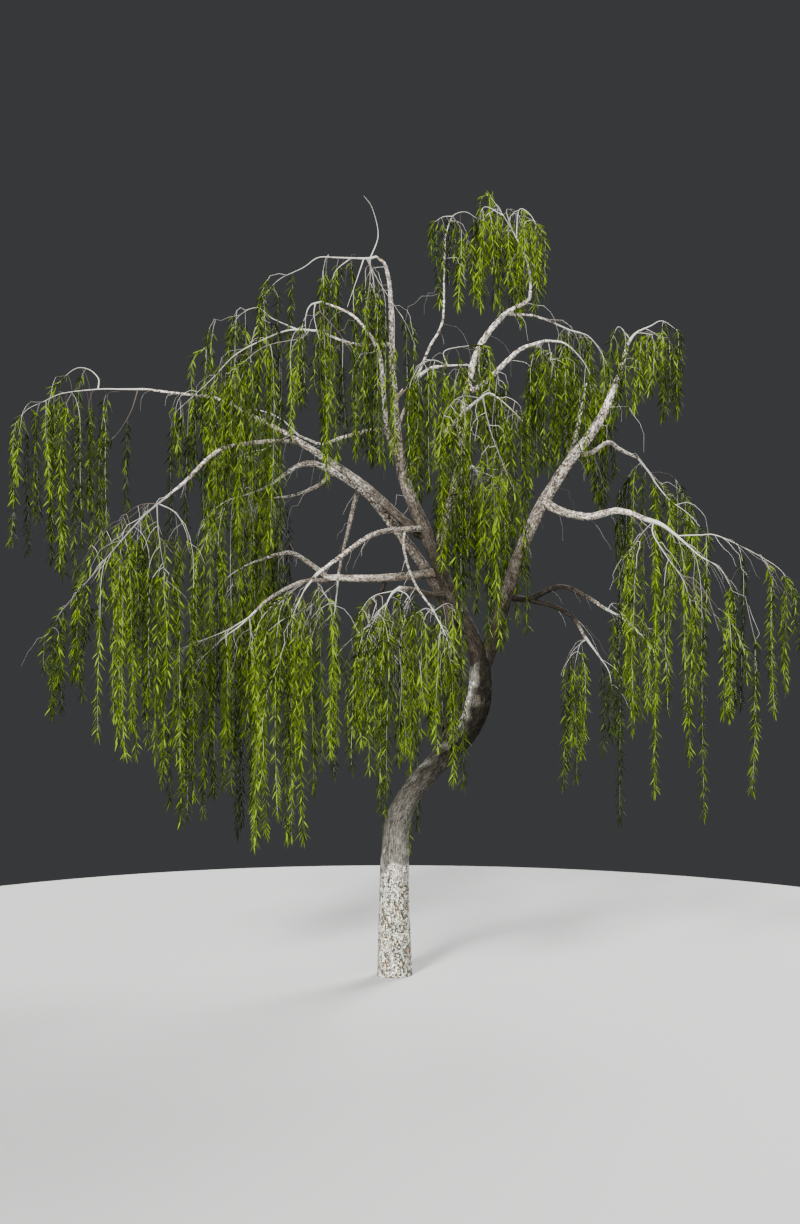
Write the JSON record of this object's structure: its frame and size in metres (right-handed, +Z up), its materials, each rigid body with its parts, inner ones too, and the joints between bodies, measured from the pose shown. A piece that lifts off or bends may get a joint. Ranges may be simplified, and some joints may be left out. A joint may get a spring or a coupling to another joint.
{
  "type": "weeping willow tree",
  "caption": "Weeping willow with a bent, tapering trunk that forks into two leaders, arching boughs and strands of narrow leaves that hang low all round",
  "frame": {"origin": "centre of the flat cut under the trunk, at ground level", "axes": "+Z up the tree, +X to the right in the picture's view, -Y towards the picture's camera"},
  "size_m": [9.2802, 6.5079, 9.4771],
  "materials": {
    "bark": "rough",
    "foliage": "satin"
  },
  "bodies": {
    "root": {"trunk": "bark", "bough_left_leader": "bark", "foliage_left_leader": "foliage", "bough_right_leader": "bark", "foliage_right_leader": "foliage", "bough_left_stem": "bark", "bough_low_arch": "bark", "foliage_low_arch": "foliage", "bough_arch": "bark", "bough_far_left": "bark", "foliage_far_left": "foliage", "bough_left": "bark", "foliage_left": "foliage", "bough_left_shoulder": "bark", "foliage_left_shoulder": "foliage", "bough_inner_left": "bark", "foliage_inner_left": "foliage", "bough_inner_right": "bark", "foliage_inner_right": "foliage", "bough_tall_shoot": "bark", "foliage_tall_shoot": "foliage", "bough_crown": "bark", "foliage_crown": "foliage", "bough_middle_right": "bark", "foliage_middle_right": "foliage", "bough_upper_right": "bark", "foliage_upper_right": "foliage", "bough_front": "bark", "foliage_front": "foliage", "bough_right": "bark", "foliage_right": "foliage", "bough_right_back": "bark", "foliage_right_back": "foliage", "bough_low_right": "bark", "foliage_low_right": "foliage", "bough_low_right_inner": "bark", "foliage_low_right_inner": "foliage", "bough_front_left": "bark", "foliage_front_left": "foliage", "bough_front_drop": "bark", "foliage_front_drop": "foliage", "bough_front_low": "bark", "foliage_front_low": "foliage", "bough_low_left": "bark", "bough_low_left_curl": "bark", "foliage_low_left_curl": "foliage", "bough_low_left_sweep": "bark", "foliage_low_left_sweep": "foliage", "bough_low_middle": "bark", "foliage_low_middle": "foliage", "bough_hanger": "bark", "foliage_hanger": "foliage", "bough_back_left": "bark", "foliage_back_left": "foliage", "bough_high_back_left": "bark", "foliage_high_back_left": "foliage", "bough_back": "bark", "foliage_back": "foliage", "bough_back_right": "bark", "foliage_back_right": "foliage"}
  },
  "joints": []
}
